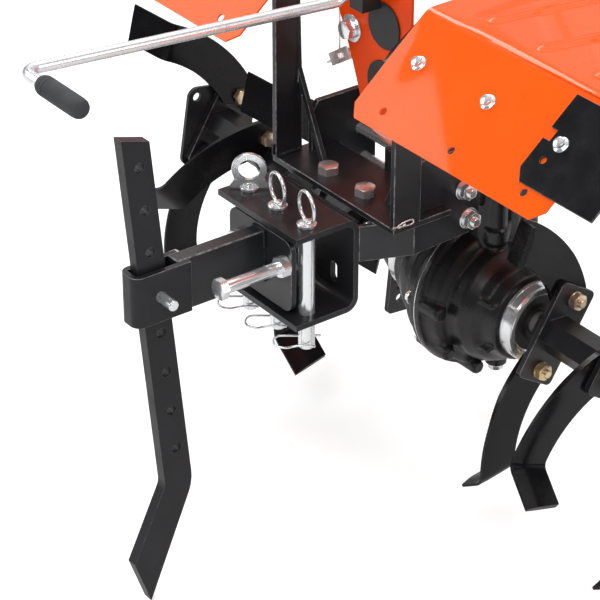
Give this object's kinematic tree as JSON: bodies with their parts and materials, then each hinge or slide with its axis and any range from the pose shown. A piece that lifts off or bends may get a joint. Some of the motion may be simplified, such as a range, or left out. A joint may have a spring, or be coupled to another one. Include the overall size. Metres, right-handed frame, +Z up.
{
  "type": "rotavator tilling unit",
  "caption": "Tilling unit of a walk-behind rotavator: cast gear case, rotors with curved tines, sheet fenders, and a rear hitch box with a swivelling drawbar and depth stake.",
  "frame": {"origin": "centre of the gear case's front mounting face, where the machine's engine frame bolts on", "axes": "+Y forward and out of the mounting face, +Z up, +X to the machine's right"},
  "size_m": [0.976, 0.6879, 0.623],
  "materials": {
    "orange_paint": "gloss",
    "orange_paint_dark": "gloss",
    "black_powder_coat": "satin",
    "cast_black": "satin",
    "bright_zinc": "bright",
    "yellow_zinc": "bright",
    "black_rubber": "matt",
    "black_plastic": "matt"
  },
  "bodies": {
    "chassis": {"beam": "black_powder_coat", "beam_bolts": "bright_zinc", "case_far": "cast_black", "case_near": "cast_black", "case_neck": "cast_black", "drain_plug": "bright_zinc", "fender_bolts": "orange_paint", "fender_left": "orange_paint", "fender_right": "orange_paint", "flap_left": "black_powder_coat", "flap_right": "black_powder_coat", "hitch_box": "black_powder_coat", "hitch_pin_left": "bright_zinc", "hitch_pin_middle": "bright_zinc", "hitch_pin_right": "bright_zinc", "panel_plugs": "black_plastic", "pin_clips": "bright_zinc", "rear_panel": "orange_paint_dark", "ring_far": "bright_zinc", "ring_near": "bright_zinc", "selector_block": "black_plastic", "selector_grip": "black_rubber", "selector_rod": "bright_zinc", "side_plate_left": "black_powder_coat", "side_plate_right": "black_powder_coat", "stud_high": "bright_zinc", "stud_low": "bright_zinc", "upright_left": "black_powder_coat", "upright_right": "black_powder_coat"},
    "rotor": {"ear_plate_far": "black_powder_coat", "ear_plate_near": "black_powder_coat", "flange_far_1": "black_powder_coat", "flange_far_2": "black_powder_coat", "flange_far_3": "black_powder_coat", "flange_far_4": "black_powder_coat", "flange_near_1": "black_powder_coat", "flange_near_2": "black_powder_coat", "flange_near_3": "black_powder_coat", "flange_near_4": "black_powder_coat", "hub_far": "black_powder_coat", "hub_near": "black_powder_coat", "rotor_axle": "bright_zinc", "tine_bolts_far": "yellow_zinc", "tine_bolts_near": "yellow_zinc", "tines_far_1": "black_powder_coat", "tines_far_2": "black_powder_coat", "tines_far_3": "black_powder_coat", "tines_far_4": "black_powder_coat", "tines_near_1": "black_powder_coat", "tines_near_2": "black_powder_coat", "tines_near_3": "black_powder_coat", "tines_near_4": "black_powder_coat"},
    "drawbar": {"adjust_bolt_left": "bright_zinc", "adjust_bolt_right": "bright_zinc", "depth_stake": "black_powder_coat", "drawbar": "black_powder_coat", "stake_clamp": "black_powder_coat", "stake_pin": "bright_zinc", "swivel_bracket": "black_powder_coat"}
  },
  "joints": [
    {"name": "rotor_spin", "type": "hinge", "parent": "chassis", "child": "rotor", "pos_m": [0, -0.088, -0.158], "axis": [1, 0, 0], "continuous": true},
    {"name": "drawbar_swing", "type": "hinge", "parent": "chassis", "child": "drawbar", "pos_m": [0, -0.325, -0.05], "axis": [0, 0, 1], "range_deg": [-5, 5]}
  ]
}
